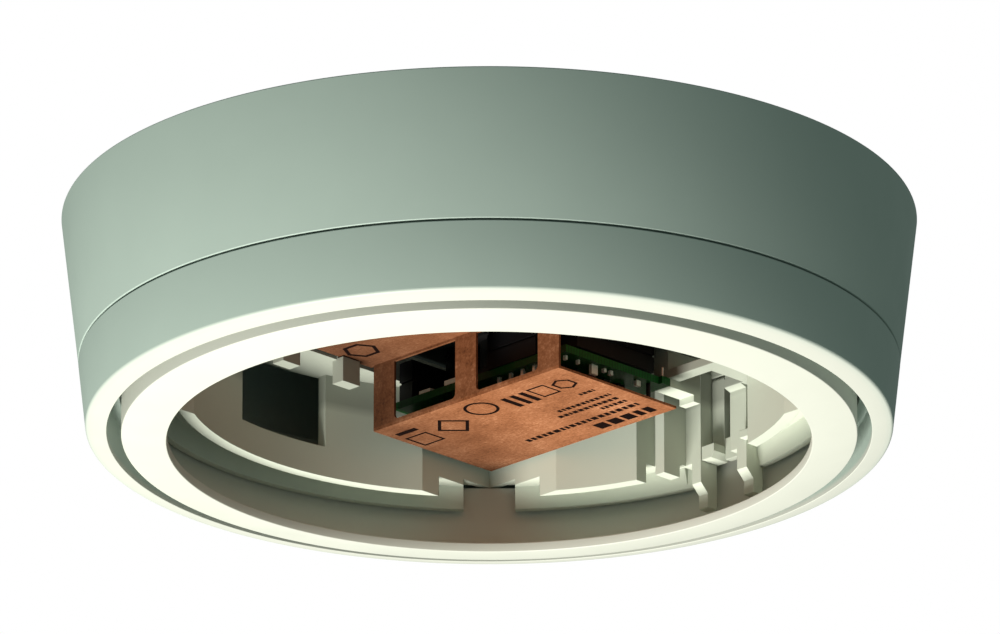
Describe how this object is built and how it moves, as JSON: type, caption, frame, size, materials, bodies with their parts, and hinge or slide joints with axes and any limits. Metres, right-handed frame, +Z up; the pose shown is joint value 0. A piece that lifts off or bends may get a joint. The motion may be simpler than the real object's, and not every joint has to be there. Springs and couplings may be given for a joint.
{
  "type": "smoke detector",
  "caption": "Round ceiling smoke detector body, head opening below, with stepped insulating cover, boards and carrier inside a tapered two-part housing.",
  "frame": {"origin": "centre of the ceiling face of the mounting plate", "axes": "+Z up into the ceiling along the body's axis; +X and +Y along the sides of the square carrier pocket, with the latch tower at +Y and the cable entry at -X"},
  "size_m": [0.13, 0.13, 0.0358],
  "materials": {
    "housing_inner": "moulded grey-white plastic",
    "rubber_black": "matte black rubber",
    "housing": "fine matte grey-white plastic",
    "housing_lower": "fine matte grey-white plastic",
    "trim": "fine matte cream-white plastic",
    "carrier": "satin grey-white plastic",
    "insulating_sheet": "mottled brown insulating board",
    "board_green": "solder-masked circuit board",
    "board_black": "black solder-masked circuit board",
    "steel": "zinc-plated steel",
    "black_plastic": "satin black plastic",
    "tin": "bright tinned metal",
    "can_dark": "dark sleeved aluminium can",
    "ferrite": "dark ferrite",
    "chip_pale": "pale ceramic",
    "chip_dark": "black moulded package",
    "chip_brown": "brown ceramic",
    "plug_red": "satin red plastic",
    "plug_dark": "satin dark grey plastic",
    "button_red": "satin red plastic",
    "led_red": "tinted clear lens",
    "gold_contacts": "gold-plated contact metal"
  },
  "bodies": {
    "base": {"mounting_plate": "housing_inner", "cable_grommet": "rubber_black", "upper_housing": "housing", "housing_screws": "steel", "carrier": "carrier", "carrier_screws": "steel", "insulating_cover": "insulating_sheet", "main_board": "board_black", "board_screws": "steel", "bus_board": "board_green", "link_header": "black_plastic", "header_pins": "tin", "relay": "black_plastic", "capacitors": "can_dark", "choke": "ferrite", "bus_board_chips": "chip_pale", "bus_board_parts": "chip_dark", "support_post": "black_plastic", "ground_pin": "tin", "bus_socket": "black_plastic", "bus_socket_pins": "tin", "button_switch": "black_plastic", "status_led": "led_red", "head_socket": "black_plastic", "head_contacts": "gold_contacts", "controller_chip": "chip_dark", "main_board_parts": "chip_brown", "power_module": "black_plastic"},
    "cover": {"lower_housing": "housing_lower"},
    "ring": {"trim_ring": "trim"},
    "latch": {"head_latch": "carrier"},
    "plug": {"bus_plug_red": "plug_red", "bus_plug_dark": "plug_dark"},
    "button": {"button_plunger": "button_red"}
  },
  "joints": [
    {"name": "cover_twist", "type": "hinge", "parent": "base", "child": "cover", "pos_m": [0, 0, -0.02], "axis": [0, 0, 1], "range_deg": [0, 14]},
    {"name": "trim_ring_pull", "type": "slide", "parent": "cover", "child": "ring", "axis": [0, 0, -1], "range_m": [0, 0.012]},
    {"name": "latch_flex", "type": "hinge", "parent": "base", "child": "latch", "pos_m": [-0.002, 0.0526, -0.0115], "axis": [1, 0, 0], "range_deg": [0, 3], "stiffness_Nm_per_rad": 0.05},
    {"name": "bus_plug_pull", "type": "slide", "parent": "base", "child": "plug", "axis": [0, 0, -1], "range_m": [0, 0.009]},
    {"name": "button_press", "type": "slide", "parent": "base", "child": "button", "axis": [0, 0, 1], "range_m": [0, 0.0004], "stiffness_N_per_m": 400, "springref_m": -0.0004}
  ]
}
